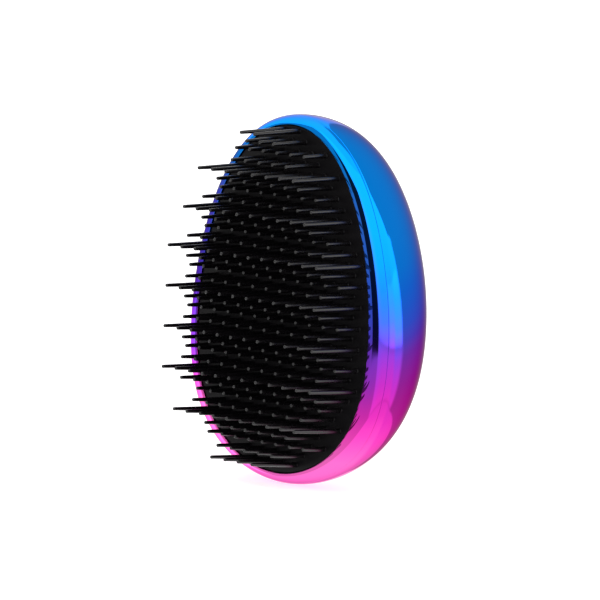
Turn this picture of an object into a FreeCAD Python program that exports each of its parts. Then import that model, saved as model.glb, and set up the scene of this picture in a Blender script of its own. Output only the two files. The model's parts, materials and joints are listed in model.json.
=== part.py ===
"""Palm-held curry comb: egg-shaped plastic shell, flexible pad with staggered teeth in three lengths.

Frame: origin at the bottom centre of the bounding box, +Z along the comb from its broad heel to its
narrow crown, teeth along -Y, domed back along +Y, +X to the side. Millimetres.
"""
import FreeCAD, Part
import math
import os
from FreeCAD import Placement, Rotation, Vector
from Sketcher import Constraint

doc = FreeCAD.newDocument("curry_comb")
sheet = doc.addObject("Spreadsheet::Sheet", "sizes")

SIZES = [
    # shell, at its girth: the largest section across the depth
    ("half_width", 39.6, "half the overall width, at the widest line"),
    ("crown_reach", 58.4, "widest line up to the crown"),
    ("heel_reach", 38.2, "widest line down to the heel"),
    ("girth_depth", 20.0, "tooth tips back to the girth"),
    ("dome_rise", 28.8, "girth back to the top of the dome"),
    ("dome_lean", 12.0, "how far the dome's top sits towards the crown"),
    ("fullness", 0.015, "how much fuller than an ellipse the outline is, halfway between its axes"),
    ("cover_wall", 1.6, "wall of the back cover at the girth"),
    ("top_wall", 2.6, "wall of the back cover at the top of the dome, where the palm presses"),
    ("parting_ahead", 2.25, "girth forward to the parting line between bezel and back cover"),
    # bezel, whose rim rolls in from the girth to the pad opening
    ("rim_rise", 4.9, "girth forward to the rim"),
    ("opening_half", 34.0, "half the width of the pad opening"),
    ("opening_up", 53.5, "opening's widest line up to its top"),
    ("opening_down", 37.7, "opening's widest line down to its bottom"),
    ("opening_centre", 40.6, "height of the opening's widest line"),
    ("rebate_share", 0.3, "how far the pad chamber goes from the opening's outline to the girth's"),
    ("lip_thick", 1.45, "rim back to the seat that the pad's flange bears on"),
    ("spigot_inset", 1.8, "outline of the locating spigot, inside the girth's outline"),
    ("spigot_past", 1.2, "how far the spigot reaches behind the girth"),
    # pad, carrier and teeth
    ("pad_gap", 0.25, "clear gap round the pad"),
    ("pad_sink", 0.3, "rim back to the pad's face"),
    ("flange_thick", 1.05, "thickness of the pad's flange"),
    ("carrier_thick", 1.6, "thickness of the stiff carrier"),
    ("rib_height", 3.0, "height of the carrier's ribs"),
    ("rib_thick", 1.4, "thickness of the carrier's ribs"),
    ("row_pitch", 2.7, "from one row of teeth to the next, also half the spacing along a row"),
    ("row_count", 33, "rows of teeth"),
    ("first_row", 92.5, "height of the row at the crown"),
    ("long_length", 15.4, "long tooth, from its root's centre"),
    ("medium_length", 11.1, "medium tooth, from its root's centre"),
    ("short_length", 7.5, "short tooth, from its root's centre"),
    ("root_radius", 0.7, "radius of a tooth at its root"),
    ("tip_radius", 0.45, "radius of a tooth at its tip"),
    ("tip_round", 0.22, "rounding of the tip's edge"),
    ("socket_gap", 0.08, "clear gap between a root and its socket"),
    ("field_half", 31.9, "half the width of the field of teeth"),
    ("field_up", 54.3, "field's widest line up to its top"),
    ("field_down", 34.3, "field's widest line down to its bottom"),
    ("field_centre", 38.5, "height of the field's widest line"),
    ("end_lean", 2.5, "degrees that the teeth of the end rows lean inward"),
    ("side_lean", 1.5, "degrees that the teeth of the sides lean inward"),
]
for line, (alias, value, note) in enumerate(SIZES, start=1):
    sheet.set("A%d" % line, note)
    sheet.set("B%d" % line, str(value))
    sheet.setAlias("B%d" % line, alias)
doc.recompute()


def size(alias):
    return float(getattr(sheet, alias))


# ---- places along the depth, worked out from the sheet ----
DEPTH = size("girth_depth") + size("dome_rise")
TIP_Y = -DEPTH / 2
GIRTH_Y = TIP_Y + size("girth_depth")
PARTING_Y = GIRTH_Y - size("parting_ahead")
RIM_Y = GIRTH_Y - size("rim_rise")
PAD_Y = RIM_Y + size("pad_sink")
SEAT_Y = RIM_Y + size("lip_thick")
CARRIER_Y = SEAT_Y + size("flange_thick")
CARRIER_BACK_Y = CARRIER_Y + size("carrier_thick")
THROUGH = DEPTH             # long enough for a cutting solid to pass right through

OUTLINE_POINTS = 48
DOME_ANGLES = (-24, -12, 0, 12, 24, 36, 48, 60, 70, 78, 84, 88)
RIM_ANGLES = (90, 75, 60, 45, 30, 15, 0)
GIRTH = (size("half_width"), size("crown_reach"), size("heel_reach"), size("heel_reach"))
OPENING = (size("opening_half"), size("opening_up"), size("opening_down"), size("opening_centre"))


def between(share):
    """Half width, reach up, reach down and centre height, from the opening (0) to the girth (1)."""
    return tuple(a + (b - a) * share for a, b in zip(OPENING, GIRTH))


def inside(outline, inset):
    """The same egg, drawn smaller by inset all round."""
    half, up, down, centre = outline
    return (half - inset, up - inset, down - inset, centre)


def egg_wire(outline, y, share=1.0, lift=0.0):
    """Closed egg outline at depth y. Its reach changes smoothly from heel to crown, with no step in curvature."""
    half, up, down, centre = outline
    points = []
    for i in range(OUTLINE_POINTS):
        turn = 2 * math.pi * i / OUTLINE_POINTS
        across = share * math.cos(turn)
        along = share * math.sin(turn)
        fuller = 1 + 4 * size("fullness") * across ** 2 * along ** 2
        reach = (up + down) / 2 + (up - down) / 2 * (1.5 * along - 0.5 * along ** 3)
        points.append(Vector(half * across * fuller, y, centre + lift + reach * along * fuller))
    curve = Part.BSplineCurve()
    curve.interpolate(points, PeriodicFlag=True)
    return Part.Wire([curve.toShape()])


def egg_plate(outline, front, back):
    """Flat egg-shaped plate between two depths."""
    face = Part.Face(egg_wire(outline, front))
    return face.extrude(Vector(0, back - front, 0))


def behind(y):
    """A box larger than the comb, behind depth y."""
    return Part.makeBox(4 * THROUGH, THROUGH, 4 * THROUGH, Vector(-2 * THROUGH, y, -THROUGH))


def dome(inset, top_inset):
    """Solid dome behind the girth; its sections shrink as a quarter circle and climb to the crown.

    The loft starts a little in front of the girth, so that it crosses it upright, and is cut there.
    """
    outline = inside(GIRTH, inset)
    rise = size("dome_rise") - top_inset
    sections = []
    for angle in DOME_ANGLES:
        share = math.cos(math.radians(angle))
        climb = math.sin(math.radians(angle))
        lift = size("dome_lean") * climb ** 2
        sections.append(egg_wire(outline, GIRTH_Y + rise * climb, share, lift))
    return Part.makeLoft(sections, True, False).common(behind(GIRTH_Y))


def rolled_rim():
    """Solid from the girth forward to the opening, rounded as a quarter ellipse."""
    sections = []
    for angle in RIM_ANGLES:
        share = math.sin(math.radians(angle))
        front = GIRTH_Y - size("rim_rise") * math.cos(math.radians(angle))
        sections.append(egg_wire(between(share), front))
    return Part.makeLoft(sections, True, False)


def add_shape(name, shape):
    part = doc.addObject("Part::Feature", name)
    part.Label = name
    part.Shape = shape
    return part


def add_cut(name, base, tool):
    cut = doc.addObject("Part::Cut", name)
    cut.Label = name
    cut.Base = base
    cut.Tool = tool
    return cut


# ---- back cover: hollow dome, vacuum-metallised ABS ----
rim_solid = rolled_rim()
cover_front = rim_solid.common(behind(PARTING_Y))
cover_solid = add_shape("cover_solid", dome(0.0, 0.0).fuse(cover_front))
front_hollow = egg_plate(inside(GIRTH, size("cover_wall")), RIM_Y, GIRTH_Y)
dome_hollow = dome(size("cover_wall"), size("top_wall"))
cover_hollow = add_shape("cover_hollow", dome_hollow.fuse(front_hollow))
back_cover = add_cut("back_cover", cover_solid, cover_hollow)

# ---- front bezel: rolled rim, a seat for the pad, a chamber for pad and carrier, a locating spigot ----
bezel_front = rim_solid.cut(behind(PARTING_Y))
spigot = egg_plate(inside(GIRTH, size("spigot_inset")), PARTING_Y, GIRTH_Y + size("spigot_past"))
bezel_solid = add_shape("bezel_solid", bezel_front.fuse(spigot))
through_hole = egg_plate(OPENING, RIM_Y - THROUGH, RIM_Y + THROUGH)
chamber = egg_plate(between(size("rebate_share")), SEAT_Y, CARRIER_BACK_Y)
bezel_hollow = add_shape("bezel_hollow", through_hole.fuse(chamber))
front_bezel = add_cut("front_bezel", bezel_solid, bezel_hollow)


# ---- teeth: one master of each length, root ball at the origin, pointing +Z ----
def add_master_tooth(name, length_alias):
    """Round tapered tooth with a ball root and a blunt, rounded tip, as a revolved sketch."""
    body = doc.addObject("PartDesign::Body", name)
    body.Label = name
    plane = next(f for f in body.Origin.OriginFeatures if f.Role == "XZ_Plane")
    sketch = body.newObject("Sketcher::SketchObject", name + "_profile")
    sketch.AttachmentSupport = [(plane, "")]
    sketch.MapMode = "FlatFace"
    root, tip, edge = size("root_radius"), size("tip_radius"), size("tip_round")
    length = size(length_alias)
    centre = Vector(0, 0, 0)
    edge_centre = Vector(tip - edge, length - edge, 0)
    up = Vector(0, 0, 1)
    ball = sketch.addGeometry(Part.ArcOfCircle(Part.Circle(centre, up, root), -math.pi / 2, 0.0))
    flank = sketch.addGeometry(Part.LineSegment(Vector(root, 0, 0), Vector(tip, length - edge, 0)))
    corner = sketch.addGeometry(Part.ArcOfCircle(Part.Circle(edge_centre, up, edge), 0.0, math.pi / 2))
    flat = sketch.addGeometry(Part.LineSegment(Vector(tip - edge, length, 0), Vector(0, length, 0)))
    axis = sketch.addGeometry(Part.LineSegment(Vector(0, length, 0), Vector(0, -root, 0)))
    sketch.addConstraint(Constraint("Coincident", ball, 3, -1, 1))
    sketch.addConstraint(Constraint("Coincident", ball, 2, flank, 1))
    sketch.addConstraint(Constraint("Coincident", flank, 2, corner, 1))
    sketch.addConstraint(Constraint("Coincident", corner, 2, flat, 1))
    sketch.addConstraint(Constraint("Coincident", flat, 2, axis, 1))
    sketch.addConstraint(Constraint("Coincident", axis, 2, ball, 1))
    sketch.addConstraint(Constraint("PointOnObject", axis, 1, -2))
    sketch.addConstraint(Constraint("PointOnObject", axis, 2, -2))
    sketch.addConstraint(Constraint("PointOnObject", flank, 1, -1))
    sketch.addConstraint(Constraint("Horizontal", flat))
    sketch.addConstraint(Constraint("Horizontal", corner, 3, corner, 1))
    sketch.addConstraint(Constraint("Vertical", corner, 3, corner, 2))
    bound = [
        (Constraint("Radius", ball, root), "root_radius"),
        (Constraint("Radius", corner, edge), "tip_round"),
        (Constraint("DistanceX", -1, 1, flank, 2, tip), "tip_radius"),
        (Constraint("DistanceY", -1, 1, axis, 1, length), length_alias),
    ]
    for constraint, alias in bound:
        number = sketch.addConstraint(constraint)
        sketch.setExpression("Constraints[%d]" % number, "sizes." + alias)
    turned = body.newObject("PartDesign::Revolution", name + "_turned")
    turned.Profile = sketch
    turned.ReferenceAxis = (sketch, ["V_Axis"])
    turned.Angle = 360.0
    body.Tip = turned
    doc.recompute()
    return body


LONG = add_master_tooth("long_tooth", "long_length")
MEDIUM = add_master_tooth("medium_tooth", "medium_length")
SHORT = add_master_tooth("short_tooth", "short_length")
LENGTH_CYCLE = (LONG, MEDIUM, SHORT, MEDIUM)


# rows, counted from 0 at the crown, that have a tooth more (1) or fewer (-1) at each end than the field's
# smooth outline gives
FIELD_STEPS = {3: -1, 12: 1, 29: -1}


def field_half_width(z):
    """Half the width of the tooth field at height z."""
    offset = z - size("field_centre")
    reach = size("field_up") if offset > 0 else size("field_down")
    return size("field_half") * math.sqrt(max(0.0, 1 - (offset / reach) ** 2))


def tooth_places(row):
    """X positions of the teeth of a row; odd rows are staggered by half a spacing."""
    pitch = size("row_pitch")
    half = field_half_width(row_height(row)) + FIELD_STEPS.get(row, 0) * pitch
    steps = range(-int(size("row_count")), int(size("row_count")) + 1)
    return [step * pitch for step in steps if (step + row) % 2 and abs(step * pitch) <= half]


def row_height(row):
    return size("first_row") - row * size("row_pitch")


def add_tooth_row(name, row):
    """All the teeth of one row, roots on one line along X, each leaning a little towards the middle."""
    z = row_height(row)
    middle = size("first_row") - size("row_pitch") * (size("row_count") - 1) / 2
    end_share = (z - middle) / (size("first_row") - middle)
    lean_down = Rotation(Vector(1, 0, 0), size("end_lean") * end_share)
    face_front = Rotation(Vector(1, 0, 0), 90)
    master = LENGTH_CYCLE[row % len(LENGTH_CYCLE)].Shape
    teeth = []
    for x in tooth_places(row):
        lean_in = Rotation(Vector(0, 0, 1), -size("side_lean") * x / size("field_half"))
        tooth = master.copy()
        tooth.Placement = Placement(Vector(x, PAD_Y, z), lean_down * lean_in * face_front)
        teeth.append(tooth)
    return add_shape(name, Part.makeCompound(teeth))


ROW_COUNT = int(size("row_count"))
tooth_rows = [add_tooth_row("tooth_row_%02d" % (row + 1), row) for row in range(ROW_COUNT)]

# ---- tooth pad: soft plate with a flange behind the rim and a socket for each root ----
pad_field = egg_plate(inside(OPENING, size("pad_gap")), PAD_Y, SEAT_Y)
pad_flange = egg_plate(inside(between(size("rebate_share")), size("pad_gap")), SEAT_Y, CARRIER_Y)
pad_blank = add_shape("pad_blank", pad_field.fuse(pad_flange))
sockets = []
for row in range(ROW_COUNT):
    for x in tooth_places(row):
        socket = Part.makeSphere(size("root_radius") + size("socket_gap"), Vector(x, PAD_Y, row_height(row)))
        sockets.append(socket)
socket_tools = add_shape("pad_sockets", Part.makeCompound(sockets))
tooth_pad = add_cut("tooth_pad", pad_blank, socket_tools)

# ---- pad carrier: stiff plate behind the pad, with a cross of ribs ----
carrier_plate = egg_plate(
    inside(between(size("rebate_share")), size("pad_gap")), CARRIER_Y, CARRIER_BACK_Y
)
long_rib = Part.makeBox(
    size("rib_thick"), size("rib_height"), size("opening_up"),
    Vector(-size("rib_thick") / 2, CARRIER_BACK_Y, size("opening_centre") - size("opening_up") / 2),
)
cross_rib = Part.makeBox(
    size("opening_half"), size("rib_height"), size("rib_thick"),
    Vector(-size("opening_half") / 2, CARRIER_BACK_Y, size("opening_centre") - size("rib_thick") / 2),
)
pad_carrier = add_shape("pad_carrier", carrier_plate.fuse([long_rib, cross_rib]).removeSplitter())

# ---- check and write ----
doc.recompute()
for item in doc.Objects:
    if "Invalid" in item.State or "Error" in item.State:
        raise RuntimeError("%s did not build: %s" % (item.Name, item.State))

os.makedirs("parts", exist_ok=True)
for part in [back_cover, front_bezel, tooth_pad, pad_carrier] + tooth_rows:
    shape = part.Shape
    if shape.isNull() or not shape.isValid():
        raise RuntimeError(part.Label + " has no valid shape")
    box = shape.BoundBox
    print("%-14s %3d solids %9.1f mm3  x %.2f..%.2f  y %.2f..%.2f  z %.2f..%.2f" % (
        part.Label, len(shape.Solids), shape.Volume,
        box.XMin, box.XMax, box.YMin, box.YMax, box.ZMin, box.ZMax))
    shape.exportStep("parts/" + part.Label + ".step")
print("teeth:", len(sockets), " long tip y:", TIP_Y)
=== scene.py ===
import json
import math
import random

import bpy
from mathutils import Matrix, Vector


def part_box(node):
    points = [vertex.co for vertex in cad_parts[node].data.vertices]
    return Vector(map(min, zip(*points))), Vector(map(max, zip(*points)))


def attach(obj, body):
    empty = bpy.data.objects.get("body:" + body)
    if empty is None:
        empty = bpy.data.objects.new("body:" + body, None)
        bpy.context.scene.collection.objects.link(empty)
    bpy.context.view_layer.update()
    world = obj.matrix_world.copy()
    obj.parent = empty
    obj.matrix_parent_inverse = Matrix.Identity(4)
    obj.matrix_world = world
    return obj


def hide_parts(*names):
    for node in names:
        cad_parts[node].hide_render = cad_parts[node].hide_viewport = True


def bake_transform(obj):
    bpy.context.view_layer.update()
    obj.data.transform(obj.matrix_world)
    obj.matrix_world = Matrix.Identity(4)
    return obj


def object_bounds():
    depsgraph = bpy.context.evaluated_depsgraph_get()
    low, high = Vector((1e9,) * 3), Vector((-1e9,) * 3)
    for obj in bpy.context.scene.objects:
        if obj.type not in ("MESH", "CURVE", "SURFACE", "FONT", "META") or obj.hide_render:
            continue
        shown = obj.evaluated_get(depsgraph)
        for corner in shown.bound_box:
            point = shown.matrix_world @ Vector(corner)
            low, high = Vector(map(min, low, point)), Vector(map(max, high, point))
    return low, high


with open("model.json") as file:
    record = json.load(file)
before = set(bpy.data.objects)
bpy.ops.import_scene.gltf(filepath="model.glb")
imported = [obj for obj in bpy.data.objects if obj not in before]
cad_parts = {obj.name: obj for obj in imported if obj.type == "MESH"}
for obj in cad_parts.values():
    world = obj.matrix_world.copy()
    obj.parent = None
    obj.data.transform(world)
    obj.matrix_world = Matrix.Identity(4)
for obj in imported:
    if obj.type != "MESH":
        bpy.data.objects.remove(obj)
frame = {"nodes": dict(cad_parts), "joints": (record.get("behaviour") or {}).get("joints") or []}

cad_low, cad_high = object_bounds()

# ---- Shell outline ----
# The comb's plan is an egg, broad at the heel and narrow at the crown. Bezel, cover and pad all follow it.
# Both shell parts are injection moulded in ABS, so their walls are smooth and their edges just broken.
WIDEST_AT_GIRTH = 0.0382
WIDEST_AT_OPENING = 0.0406
FULLNESS = 0.015
OUTLINE_POINTS = 192

cover_low, cover_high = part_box("back_cover")
pad_low, pad_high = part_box("tooth_pad")

DOME_RISE = 0.0288
RIM_RISE = 0.0049
PARTING_AHEAD = 0.00225     # the two halves meet this far in front of the girth, the shell's largest section
GIRTH_Y = cover_high.y - DOME_RISE
RIM_Y = GIRTH_Y - RIM_RISE
PARTING_Y = GIRTH_Y - PARTING_AHEAD
HALF_WIDTH = 0.0396
GIRTH = (HALF_WIDTH, cover_high.z - WIDEST_AT_GIRTH, WIDEST_AT_GIRTH, WIDEST_AT_GIRTH)
OPENING = (0.034, 0.0535, 0.0377, WIDEST_AT_OPENING)


def between(share):
    """The outline that lies this share of the way from the pad opening (0) to the girth (1)."""
    return tuple(a + (b - a) * share for a, b in zip(OPENING, GIRTH))


def inside(outline, inset):
    """The same egg, drawn smaller by inset all round."""
    half, up, down, centre = outline
    return (half - inset, up - inset, down - inset, centre)


def egg_ring(outline, y, share=1.0, lift=0.0):
    """One closed ring of points on the egg, at depth y, shrunk to share of its size."""
    half, up, down, centre = outline
    ring = []
    for i in range(OUTLINE_POINTS):
        turn = math.tau * i / OUTLINE_POINTS
        across = share * math.cos(turn)
        along = share * math.sin(turn)
        fuller = 1 + 4 * FULLNESS * across ** 2 * along ** 2
        reach = (up + down) / 2 + (up - down) / 2 * (1.5 * along - 0.5 * along ** 3)
        ring.append((half * across * fuller, y, centre + lift + reach * along * fuller))
    return ring


def skin_rings(name, rings, closed=False):
    """A mesh skinned over rings of points; a ring of one point is a pole, and closed joins last to first."""
    points = [point for ring in rings for point in ring]
    starts = [sum(len(ring) for ring in rings[:i]) for i in range(len(rings))]
    faces = []
    pairs = list(zip(range(len(rings)), range(1, len(rings))))
    if closed:
        pairs.append((len(rings) - 1, 0))
    for one, two in pairs:
        count = max(len(rings[one]), len(rings[two]))
        for i in range(count):
            j = (i + 1) % count
            corners = [starts[one] + i % len(rings[one]), starts[one] + j % len(rings[one]),
                       starts[two] + j % len(rings[two]), starts[two] + i % len(rings[two])]
            faces.append(list(dict.fromkeys(corners)))
    mesh = bpy.data.meshes.new(name)
    mesh.from_pydata(points, [], faces)
    mesh.update()
    mesh.shade_smooth()
    mesh.set_sharp_from_angle(angle=math.radians(40))
    piece = bpy.data.objects.new(name, mesh)
    bpy.context.scene.collection.objects.link(piece)
    return piece


# ---- Metallised ABS ----
# Both shell parts are moulded in ABS, lacquered, vacuum-metallised with aluminium and sprayed with a clear
# coat in two tinted fades. The eye sees a mirror that runs from sky blue at the crown through deep blue
# and violet to magenta and pink at the heel, with the very slight orange peel of a sprayed lacquer.
FADE = [
    (0.004, "FF6CCA"), (0.013, "FA46C2"), (0.019, "E22FB8"), (0.024, "CD29B3"), (0.028, "BA29B8"),
    (0.032, "A62FC2"), (0.036, "8938CE"), (0.040, "5A4CE6"), (0.044, "3660F4"), (0.048, "216CF8"),
    (0.052, "0D77FB"), (0.058, "0089FD"), (0.066, "0091FF"), (0.084, "0095FF"),
]
FADE_SIDE = 0.038           # the heights in FADE hold on the +X side of the rim, at this x
FADE_DEPTH = -0.006         # and this y
FADE_SIDEWAYS = 0.176       # the fades run a little across: they sit lower on the +X side,
FADE_BACKWARD = -0.4        # higher towards the back,
FRONT_RAISE = 0.003         # and higher by this much on what faces forward
FADE_DRIFT = 0.002          # how far the fades wander up and down
FRONT_TINT = "5A40E2"       # a violet cast on the flat of the rim, strongest on its -X side
PEEL_SIZE = 0.0016          # orange peel, from ripple to ripple


def colour(code):
    """An sRGB hex colour as linear red, green, blue and alpha."""
    parts = [int(code[i:i + 2], 16) / 255 for i in (0, 2, 4)]
    return tuple(c / 12.92 if c <= 0.04045 else ((c + 0.055) / 1.055) ** 2.4 for c in parts) + (1.0,)


def add_node(tree, kind, inputs=(), **settings):
    """One node with its settings; each input is a value, or the output socket that feeds it."""
    node = tree.nodes.new(kind)
    for name, value in settings.items():
        setattr(node, name, value)
    for name, value in dict(inputs).items():
        if isinstance(value, bpy.types.NodeSocket):
            tree.links.new(value, node.inputs[name])
        else:
            node.inputs[name].default_value = value
    return node


def start_material(name):
    material = bpy.data.materials.new(name)
    material.use_nodes = True
    material.node_tree.nodes.clear()
    return material, material.node_tree


def finish_material(tree, surface):
    add_node(tree, "ShaderNodeOutputMaterial", {"Surface": surface.outputs[0]})


metallised_abs, tree = start_material("metallised_abs")
place = add_node(tree, "ShaderNodeTexCoord")
drift = add_node(tree, "ShaderNodeTexNoise",
                 {"Vector": place.outputs["Object"], "Scale": 28.0, "Detail": 2.0})
spray = add_node(tree, "ShaderNodeVectorMath", {
    0: place.outputs["Object"], 1: (FADE_SIDEWAYS, FADE_BACKWARD, 1.0)}, operation="DOT_PRODUCT")
facing = add_node(tree, "ShaderNodeSeparateXYZ", {0: place.outputs["Normal"]})
lowered = add_node(tree, "ShaderNodeMapRange", {
    "Value": facing.outputs["Y"], "From Min": -0.04, "From Max": -0.22, "To Max": -FRONT_RAISE})
sprayed = add_node(tree, "ShaderNodeMath", {0: spray.outputs["Value"], 1: lowered.outputs["Result"]},
                   operation="ADD")
uneven = add_node(tree, "ShaderNodeMath", {0: drift.outputs["Fac"], 1: FADE_DRIFT, 2: sprayed.outputs[0]},
                  operation="MULTIPLY_ADD")
origin = FADE_SIDEWAYS * FADE_SIDE + FADE_BACKWARD * FADE_DEPTH + FADE_DRIFT / 2
level = add_node(tree, "ShaderNodeMapRange", {
    "Value": uneven.outputs[0], "From Min": FADE[0][0] + origin, "From Max": FADE[-1][0] + origin})
fade = add_node(tree, "ShaderNodeValToRGB", {"Fac": level.outputs["Result"]})
reach = FADE[-1][0] - FADE[0][0]
stops = fade.color_ramp.elements
stops[0].color = colour(FADE[0][1])
stops[1].color = colour(FADE[-1][1])
for height, code in FADE[1:-1]:
    stops.new((height - FADE[0][0]) / reach).color = colour(code)
axes = add_node(tree, "ShaderNodeSeparateXYZ", {0: place.outputs["Object"]})
# The violet cast is a product of shares, each with its value's two ends and the share at those ends.
tint = None
for value, start, end, least, most in [
    (facing.outputs["Y"], -0.70, -0.97, 0.0, 0.8), (axes.outputs["X"], 0.034, -0.020, 0.45, 1.0),
    (axes.outputs["Z"], 0.018, 0.034, 0.0, 1.0), (axes.outputs["Z"], 0.088, 0.070, 0.0, 1.0),
]:
    share = add_node(tree, "ShaderNodeMapRange", {
        "Value": value, "From Min": start, "From Max": end, "To Min": least, "To Max": most},
        interpolation_type="SMOOTHSTEP")
    before = 1.0 if tint is None else tint.outputs[0]
    tint = add_node(tree, "ShaderNodeMath", {0: share.outputs["Result"], 1: before}, operation="MULTIPLY")
tinted = add_node(tree, "ShaderNodeMix", {
    "Factor": tint.outputs[0], "A": fade.outputs["Color"], "B": colour(FRONT_TINT)}, data_type="RGBA")
peel = add_node(tree, "ShaderNodeTexNoise",
                {"Vector": place.outputs["Object"], "Scale": 1 / PEEL_SIZE, "Detail": 1.0})
ripple = add_node(tree, "ShaderNodeBump",
                  {"Height": peel.outputs["Fac"], "Strength": 0.02, "Distance": 0.0001})
haze = add_node(tree, "ShaderNodeTexNoise",
                {"Vector": place.outputs["Object"], "Scale": 90.0, "Detail": 3.0})
gloss = add_node(tree, "ShaderNodeMapRange",
                 {"Value": haze.outputs["Fac"], "To Min": 0.035, "To Max": 0.065})
mirror = add_node(tree, "ShaderNodeBsdfPrincipled", {
    "Base Color": tinted.outputs["Result"], "Metallic": 1.0, "Roughness": gloss.outputs["Result"],
    "Specular Tint": colour("C8A8B8"), "Normal": ripple.outputs["Normal"],
    "Coat Weight": 0.06, "Coat Roughness": 0.03, "Coat IOR": 1.5})
finish_material(tree, mirror)

# ---- Front bezel ----
# A moulded ring of metallised ABS round the pad. Its rim rolls in from the parting line to the pad opening,
# and behind the rim are the seat for the pad's flange, the chamber for the carrier and a locating spigot.
EDGE_BREAK = 0.00013        # rounding of the edges at the parting line
SEAT_Y = RIM_Y + 0.00145
CHAMBER_END_Y = RIM_Y + 0.0041
SPIGOT_INSET = 0.0018
SPIGOT_END_Y = GIRTH_Y + 0.0012
CHAMBER = between(0.3)
ROLL_STEPS = 28
ROUND_ANGLES = (0, 30, 60, 90)


def rim_outline(y):
    """Outline of the rolled rim at depth y; from girth to rim it turns in as a quarter ellipse."""
    ahead = min(1.0, (GIRTH_Y - y) / RIM_RISE)
    return between(math.sqrt(1 - ahead ** 2))


def broken_edge(side):
    """Rings of the rounded edge at the parting line, outward; side is -1 in front of it and 1 behind it."""
    edge = []
    for angle in ROUND_ANGLES:
        turn = math.radians(angle)
        y = PARTING_Y + side * EDGE_BREAK * (1 - math.cos(turn))
        edge.append(egg_ring(inside(rim_outline(y), EDGE_BREAK * (1 - math.sin(turn))), y))
    return edge


rings = broken_edge(-1)
start_angle = math.acos((PARTING_AHEAD + EDGE_BREAK) / RIM_RISE)
for step in range(1, ROLL_STEPS + 1):
    angle = start_angle * (1 - step / ROLL_STEPS)
    rings.append(egg_ring(between(math.sin(angle)), GIRTH_Y - RIM_RISE * math.cos(angle)))
for angle in ROUND_ANGLES[1:]:
    turn = math.radians(angle)
    sink = EDGE_BREAK * (1 - math.cos(turn))
    rings.append(egg_ring(inside(OPENING, EDGE_BREAK * math.sin(turn)), RIM_Y + sink))
rings.append(egg_ring(inside(OPENING, EDGE_BREAK), SEAT_Y))
rings.append(egg_ring(CHAMBER, SEAT_Y))
rings.append(egg_ring(CHAMBER, CHAMBER_END_Y))
rings.append(egg_ring(OPENING, CHAMBER_END_Y))
rings.append(egg_ring(OPENING, SPIGOT_END_Y))
rings.append(egg_ring(inside(GIRTH, SPIGOT_INSET), SPIGOT_END_Y))
rings.append(egg_ring(inside(GIRTH, SPIGOT_INSET), PARTING_Y))
bezel = skin_rings("front_bezel_skin", rings, closed=True)
bezel.data.materials.append(metallised_abs)
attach(bezel, "shell")
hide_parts("front_bezel")

# ---- Back cover ----
# The dome that fills the palm: a hollow ABS moulding, thickest under the palm, metallised like the bezel.
# It pushes over the bezel's spigot and meets it at the parting line, where both edges are broken and leave
# a hairline groove.
COVER_WALL = 0.0016
TOP_WALL = 0.0026           # thicker where the palm presses
DOME_LEAN = 0.012           # the top of the dome sits this far towards the crown
DOME_STEPS = 72
FRONT_STEPS = 8


def dome_rings(inset, top_inset):
    """Rings of a dome from the girth back to its top, which is a pole."""
    outline = inside(GIRTH, inset)
    rise = DOME_RISE - top_inset
    dome = []
    for step in range(DOME_STEPS):
        angle = math.radians(90) * step / DOME_STEPS
        y = GIRTH_Y + rise * math.sin(angle)
        dome.append(egg_ring(outline, y, math.cos(angle), DOME_LEAN * math.sin(angle) ** 2))
    top = (0.0, GIRTH_Y + rise, outline[3] + DOME_LEAN)
    return dome + [[top]]


front = []
for step in range(1, FRONT_STEPS):
    y = PARTING_Y + EDGE_BREAK + (PARTING_AHEAD - EDGE_BREAK) * step / FRONT_STEPS
    front.append(egg_ring(rim_outline(y), y))
outside = broken_edge(1) + front + dome_rings(0.0, 0.0)
hollow = [egg_ring(inside(GIRTH, COVER_WALL), PARTING_Y)] + dome_rings(COVER_WALL, TOP_WALL)
cover = skin_rings("back_cover_skin", outside[::-1] + hollow)
cover.data.materials.append(metallised_abs)
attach(cover, "shell")
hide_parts("back_cover")

# ---- Black elastomer ----
# Pad and teeth are one moulding in a carbon-black thermoplastic elastomer. The tool was finely spark-eroded,
# so the flat of the pad is satin with a fine grain. The drawn flanks of the teeth are a little glossier.
ERODED_GRAIN = 0.00035      # drawn three times as coarse as the real grain, which is too fine to show


def black_elastomer(name, low_gloss, high_gloss, specular, grain_depth):
    material, tree = start_material(name)
    place = add_node(tree, "ShaderNodeTexCoord")
    clouds = add_node(tree, "ShaderNodeTexNoise",
                      {"Vector": place.outputs["Object"], "Scale": 140.0, "Detail": 4.0})
    black = add_node(tree, "ShaderNodeValToRGB", {"Fac": clouds.outputs["Fac"]})
    black.color_ramp.elements[0].color = colour("030204")
    black.color_ramp.elements[1].color = colour("0A080A")
    grain = add_node(tree, "ShaderNodeTexNoise",
                     {"Vector": place.outputs["Object"], "Scale": 1 / ERODED_GRAIN, "Detail": 2.0})
    relief = add_node(tree, "ShaderNodeBump",
                      {"Height": grain.outputs["Fac"], "Strength": 0.35, "Distance": grain_depth})
    gloss = add_node(tree, "ShaderNodeMapRange",
                     {"Value": clouds.outputs["Fac"], "To Min": low_gloss, "To Max": high_gloss})
    rubber = add_node(tree, "ShaderNodeBsdfPrincipled", {
        "Base Color": black.outputs["Color"], "Roughness": gloss.outputs["Result"], "IOR": 1.5,
        "Specular IOR Level": specular, "Normal": relief.outputs["Normal"]})
    finish_material(tree, rubber)
    return material


pad_elastomer = black_elastomer("black_elastomer_eroded", 0.42, 0.52, 0.12, 0.00003)
tooth_elastomer = black_elastomer("black_elastomer_drawn", 0.22, 0.32, 0.6, 0.00001)

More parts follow.
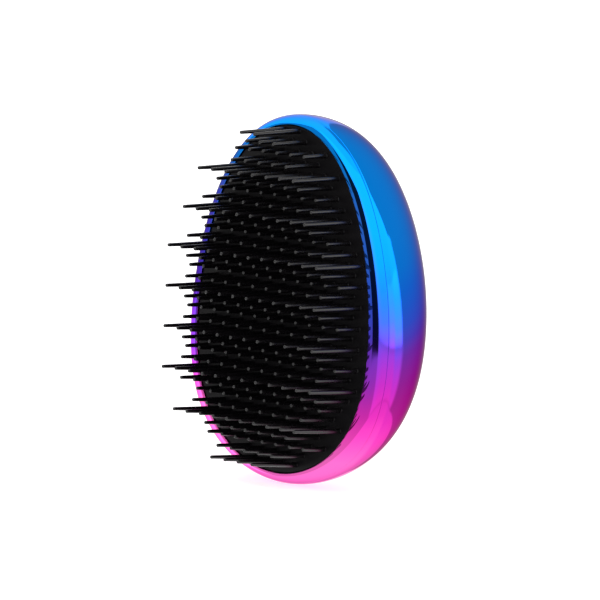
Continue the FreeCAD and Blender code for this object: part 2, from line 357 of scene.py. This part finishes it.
# ---- Tooth pad ----
# A flat plate of the elastomer that fills the opening, with a hairline gap to the rim. Its edge is rounded,
# and its flange is held between the bezel's seat and the stiff carrier.
PAD_GAP = 0.00025
PAD_EDGE = 0.0004
PAD_RINGS = 24
PAD_EDGE_ANGLES = (0, 15, 30, 45, 60, 75, 90)
PAD_Y = pad_low.y
FIELD = inside(OPENING, PAD_GAP)
FLANGE = inside(CHAMBER, PAD_GAP)

rings = [[(0.0, PAD_Y, WIDEST_AT_OPENING)]]
for step in range(1, PAD_RINGS):
    rings.append(egg_ring(tuple(v * step / PAD_RINGS for v in FIELD[:3]) + (WIDEST_AT_OPENING,), PAD_Y))
for angle in PAD_EDGE_ANGLES:
    inset = PAD_EDGE * (1 - math.sin(math.radians(angle)))
    sink = PAD_EDGE * (1 - math.cos(math.radians(angle)))
    rings.append(egg_ring(inside(FIELD, inset), PAD_Y + sink))
rings.append(egg_ring(FIELD, SEAT_Y))
rings.append(egg_ring(FLANGE, SEAT_Y))
rings.append(egg_ring(FLANGE, pad_high.y))
rings.append([(0.0, pad_high.y, WIDEST_AT_OPENING)])
pad = skin_rings("tooth_pad_skin", rings)
pad.data.materials.append(pad_elastomer)
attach(pad, "shell")
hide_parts("tooth_pad")

# ---- Teeth ----
# Round, tapered elastomer pins, moulded in one piece with the pad, in three lengths. Each flares into the
# pad at its root and ends in a blunt tip with a turned edge. On the real comb a row bends near its roots
# and springs back; here each row is built as one still mesh, set at its joint's height.
ROW_PITCH = 0.0027
ROOT_RADIUS = 0.0007
TIP_RADIUS = 0.00045
ROOT_FLARE = 0.00008
ROOT_SUNK = 0.0001          # how far the skin starts below the pad's face
FLARE_HEIGHT = 0.0004
FLARE_STEPS = 6
TAPER_STEPS = 12
TIP_ROUND = 0.00022
TIP_ANGLES = (22, 45, 68, 90)
TIP_DISH = ((0.00004, 0.00001), (0.00008, 0.00006))     # rings of the dished tip: how far in, how deep
TIP_CLEARANCE = 0.00006     # keeps a leaning tip inside its CAD box
TOOTH_SIDES = 20
END_LEAN = math.radians(2.5)
SIDE_LEAN = math.radians(1.5)
UNEVEN = math.radians(0.35)     # no two teeth point quite the same way
FIELD_HALF = 0.0319
random.seed(7)


def tooth_profile(length):
    """Radius and height of each ring of a tooth, from just under the pad's face to the tip."""
    profile = [(ROOT_RADIUS + ROOT_FLARE, -ROOT_SUNK)]
    for step in range(FLARE_STEPS + 1):
        rise = step / FLARE_STEPS
        taper = (ROOT_RADIUS - TIP_RADIUS) * rise * FLARE_HEIGHT / length
        profile.append((ROOT_RADIUS - taper + ROOT_FLARE * (1 - rise) ** 2, FLARE_HEIGHT * rise))
    straight_top = length - TIP_ROUND
    for step in range(1, TAPER_STEPS + 1):
        share = step / TAPER_STEPS
        height = FLARE_HEIGHT + (straight_top - FLARE_HEIGHT) * share
        profile.append((ROOT_RADIUS - (ROOT_RADIUS - TIP_RADIUS) * height / length, height))
    for angle in TIP_ANGLES:
        turn = math.radians(angle)
        tip_in = TIP_ROUND * (1 - math.cos(turn))
        profile.append((TIP_RADIUS - tip_in, straight_top + TIP_ROUND * math.sin(turn)))
    for inward, depth in TIP_DISH:
        profile.append((TIP_RADIUS - TIP_ROUND - inward, length - depth))
    return profile


def tooth_rings(x, z, length, lean_up, lean_side):
    """The rings of one tooth whose root is at x, z on the pad's face and which points along -Y."""
    turn = Matrix.Rotation(lean_up, 3, "X") @ Matrix.Rotation(lean_side, 3, "Z")
    root = Vector((x, PAD_Y, z))
    tooth = []
    for radius, height in tooth_profile(length):
        ring = []
        for side in range(TOOTH_SIDES):
            angle = math.tau * side / TOOTH_SIDES
            local = Vector((radius * math.cos(angle), -height, radius * math.sin(angle)))
            ring.append(tuple(root + turn @ local))
        tooth.append(ring)
    return tooth


def teeth_mesh(name, teeth):
    """One mesh that holds the separate skins of several teeth, each closed at its tip and root."""
    points, faces = [], []
    for rings in teeth:
        start = len(points)
        points.extend(point for ring in rings for point in ring)
        for level in range(len(rings) - 1):
            here = start + level * TOOTH_SIDES
            above = here + TOOTH_SIDES
            for side in range(TOOTH_SIDES):
                after = (side + 1) % TOOTH_SIDES
                faces.append((here + side, above + side, above + after, here + after))
        faces.append(tuple(start + side for side in range(TOOTH_SIDES)))
        last = len(points) - TOOTH_SIDES
        faces.append(tuple(last + side for side in reversed(range(TOOTH_SIDES))))
    mesh = bpy.data.meshes.new(name)
    mesh.from_pydata(points, [], faces)
    mesh.update()
    mesh.shade_smooth()
    mesh.set_sharp_from_angle(angle=math.radians(50))
    return mesh


row_places = {joint["child"]: joint["pos_m"] for joint in frame["joints"]}
row_heights = [place[2] for place in row_places.values()]
middle = (max(row_heights) + min(row_heights)) / 2
for row, place in sorted(row_places.items()):
    low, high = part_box(row)
    length = PAD_Y - low.y
    count = round((high.x - low.x - 2 * ROOT_RADIUS) / (2 * ROW_PITCH)) + 1
    z = place[2]
    lean_up = END_LEAN * (z - middle) / (max(row_heights) - middle)
    teeth = []
    for number in range(count):
        x = (number - (count - 1) / 2) * 2 * ROW_PITCH
        uneven_up = random.uniform(-1, 1) * UNEVEN
        uneven_side = random.uniform(-1, 1) * UNEVEN
        lean_side = -SIDE_LEAN * x / FIELD_HALF + uneven_side
        teeth.append(tooth_rings(x, z, length - TIP_CLEARANCE, lean_up + uneven_up, lean_side))
    mesh = teeth_mesh(row + "_skin", teeth)
    piece = bpy.data.objects.new(row + "_skin", mesh)
    bpy.context.scene.collection.objects.link(piece)
    mesh.materials.append(tooth_elastomer)
    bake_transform(piece)
    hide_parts(row)

# ---- Pad carrier ----
# A stiff ribbed plate in plain black ABS, which backs the soft pad and snaps in behind it. It is hidden
# inside the shell and keeps the fine texture of its mould.
MOULD_TEXTURE = 0.0005

black_abs, tree = start_material("black_abs_textured")
place = add_node(tree, "ShaderNodeTexCoord")
texture = add_node(tree, "ShaderNodeTexNoise",
                   {"Vector": place.outputs["Object"], "Scale": 1 / MOULD_TEXTURE, "Detail": 3.0})
relief = add_node(tree, "ShaderNodeBump",
                  {"Height": texture.outputs["Fac"], "Strength": 0.4, "Distance": 0.00004})
tint = add_node(tree, "ShaderNodeValToRGB", {"Fac": texture.outputs["Fac"]})
tint.color_ramp.elements[0].color = colour("141416")
tint.color_ramp.elements[1].color = colour("202023")
plate = add_node(tree, "ShaderNodeBsdfPrincipled", {
    "Base Color": tint.outputs["Color"], "Roughness": 0.5, "IOR": 1.54, "Normal": relief.outputs["Normal"]})
finish_material(tree, plate)
for slot in frame["nodes"]["pad_carrier"].material_slots:
    slot.material = black_abs

# ---- Floor ----
# A table of opal acrylic, lit softly from below, as small glossy things are shown on. It is part of the
# stage, and glossy rays pass it, because the shell mirrors the panels below instead.
FLOOR_HALF = 4.0

floor_mesh = bpy.data.meshes.new("floor")
floor_mesh.from_pydata(
    [(-FLOOR_HALF, -FLOOR_HALF, 0), (FLOOR_HALF, -FLOOR_HALF, 0), (FLOOR_HALF, FLOOR_HALF, 0),
     (-FLOOR_HALF, FLOOR_HALF, 0)], [], [(0, 1, 2, 3)])
floor = bpy.data.objects.new("floor", floor_mesh)
bpy.context.scene.collection.objects.link(floor)
opal_acrylic, tree = start_material("opal_acrylic")
table = add_node(tree, "ShaderNodeBsdfPrincipled", {
    "Base Color": colour("E4E4E4"), "Roughness": 0.7,
    "Emission Color": colour("FFFFFF"), "Emission Strength": 0.62})
finish_material(tree, table)
floor_mesh.materials.append(opal_acrylic)
floor.visible_glossy = False

# ---- Light ----
# A white tent with soft boxes. Each panel has its bearings (0 is straight in front of the teeth, 90 is +X),
# its heights above the horizon, how far it leans sideways as it rises, how soft its edge is, and its
# brightness. Angles are in degrees, and later panels cover earlier ones. The camera sees plain white.
TENT = 0.62
PANELS = [
    ("left_wall", -122, -62, -90, 90, 0.0, 2, 0.6),
    ("front_left_wall", -66, -24, -90, 90, 0.0, 2, 0.55),
    ("far_table", -143, -60, -31, -5, 0.0, 2, 1.9),
    ("near_table", -60, 20, -31, -7, 0.0, 4, 0.8),
    ("high_left_box", -140, -50, 10, 60, 0.0, 2, 1.4),
    ("overhead_box", -125, 104, 50, 90, 0.0, 2, 1.45),
    ("right_box", 16, 143, -3.5, 25, -0.1, 2, 1.75),
    ("right_box_top", 40, 175, 23, 62, -1.44, 2, 1.75),
    ("right_box_core", 79, 141, -3.5, 16, -0.1, 2, 2.2),
    ("table_glow", 12, 144, -31, -3.5, 0.0, 8, 1.25),
    ("front_flag", -22, 13, -7, 30, 0.0, 2, 0.03),
    ("table", -200, 200, -90, -31, 0.0, 2, 1.15),
]

world = bpy.data.worlds.new("studio")
bpy.context.scene.world = world
world.use_nodes = True
tree = world.node_tree
tree.nodes.clear()
direction = add_node(tree, "ShaderNodeTexCoord")
axes = add_node(tree, "ShaderNodeSeparateXYZ", {0: direction.outputs["Generated"]})
ahead = add_node(tree, "ShaderNodeMath", {0: axes.outputs["Y"], 1: -1.0}, operation="MULTIPLY")
bearing = add_node(tree, "ShaderNodeMath", {0: axes.outputs["X"], 1: ahead.outputs[0]}, operation="ARCTAN2")
height = add_node(tree, "ShaderNodeMath", {0: axes.outputs["Z"]}, operation="ARCSINE")
light = None
for name, left, right, low, high, lean, softness, level in PANELS:
    centre = math.radians(left + right) / 2
    leant = add_node(tree, "ShaderNodeMath", {0: height.outputs[0], 1: -lean, 2: bearing.outputs[0]},
                     operation="MULTIPLY_ADD")
    turned = add_node(tree, "ShaderNodeMath", {0: leant.outputs[0], 1: -centre}, operation="ADD")
    aside = add_node(tree, "ShaderNodeMath", {0: turned.outputs[0]}, operation="ABSOLUTE")
    raised = add_node(tree, "ShaderNodeMath", {0: height.outputs[0], 1: -math.radians(low + high) / 2},
                      operation="ADD")
    away = add_node(tree, "ShaderNodeMath", {0: raised.outputs[0]}, operation="ABSOLUTE")
    half_soft = math.radians(softness) / 2
    across = add_node(tree, "ShaderNodeMapRange", {
        "Value": aside.outputs[0], "From Min": math.radians(right - left) / 2 + half_soft,
        "From Max": math.radians(right - left) / 2 - half_soft}, interpolation_type="SMOOTHSTEP")
    upright = add_node(tree, "ShaderNodeMapRange", {
        "Value": away.outputs[0], "From Min": math.radians(high - low) / 2 + half_soft,
        "From Max": math.radians(high - low) / 2 - half_soft}, interpolation_type="SMOOTHSTEP")
    mask = add_node(tree, "ShaderNodeMath", {0: across.outputs["Result"], 1: upright.outputs["Result"]},
                    operation="MULTIPLY")
    under = TENT if light is None else light.outputs["Result"]
    light = add_node(tree, "ShaderNodeMix", {"Factor": mask.outputs[0], "A": under, "B": level})
    light.label = name
lit = add_node(tree, "ShaderNodeBackground",
               {"Color": (1.0, 1.0, 1.0, 1.0), "Strength": light.outputs["Result"]})
seen = add_node(tree, "ShaderNodeBackground", {"Color": (1.0, 1.0, 1.0, 1.0), "Strength": 1.0})
rays = add_node(tree, "ShaderNodeLightPath")
both = add_node(tree, "ShaderNodeMixShader",
                {0: rays.outputs["Is Camera Ray"], 1: lit.outputs[0], 2: seen.outputs[0]})
add_node(tree, "ShaderNodeOutputWorld", {"Surface": both.outputs[0]})
bpy.context.scene.view_settings.view_transform = "Standard"

# ---- Camera ----
# A long lens, level with the comb and half round to its right, rolled a few degrees.
AZIMUTH = math.radians(48.6)
ELEVATION = math.radians(5.7)
ROLL = math.radians(2.93)
DISTANCE = 1.62
AIM = Vector((0.0, PAD_Y - 0.0015, (cad_low.z + cad_high.z) / 2 + 0.001))
AIM_RIGHT = 0.00536
AIM_DOWN = 0.00101

camera_data = bpy.data.cameras.new("camera")
camera_data.lens = 374.4
camera_data.sensor_width = 36.0
camera_data.clip_end = 20.0
camera = bpy.data.objects.new("camera", camera_data)
bpy.context.scene.collection.objects.link(camera)
back = Vector((math.sin(AZIMUTH) * math.cos(ELEVATION), -math.cos(AZIMUTH) * math.cos(ELEVATION),
               math.sin(ELEVATION)))
level_right = Vector((math.cos(AZIMUTH), math.sin(AZIMUTH), 0.0))
level_up = back.cross(level_right)
right = math.cos(ROLL) * level_right + math.sin(ROLL) * level_up
up = back.cross(right)
turned = Matrix((right, up, back)).transposed().to_4x4()
camera.matrix_world = Matrix.Translation(AIM + back * DISTANCE + right * AIM_RIGHT - up * AIM_DOWN) @ turned
bpy.context.scene.camera = camera
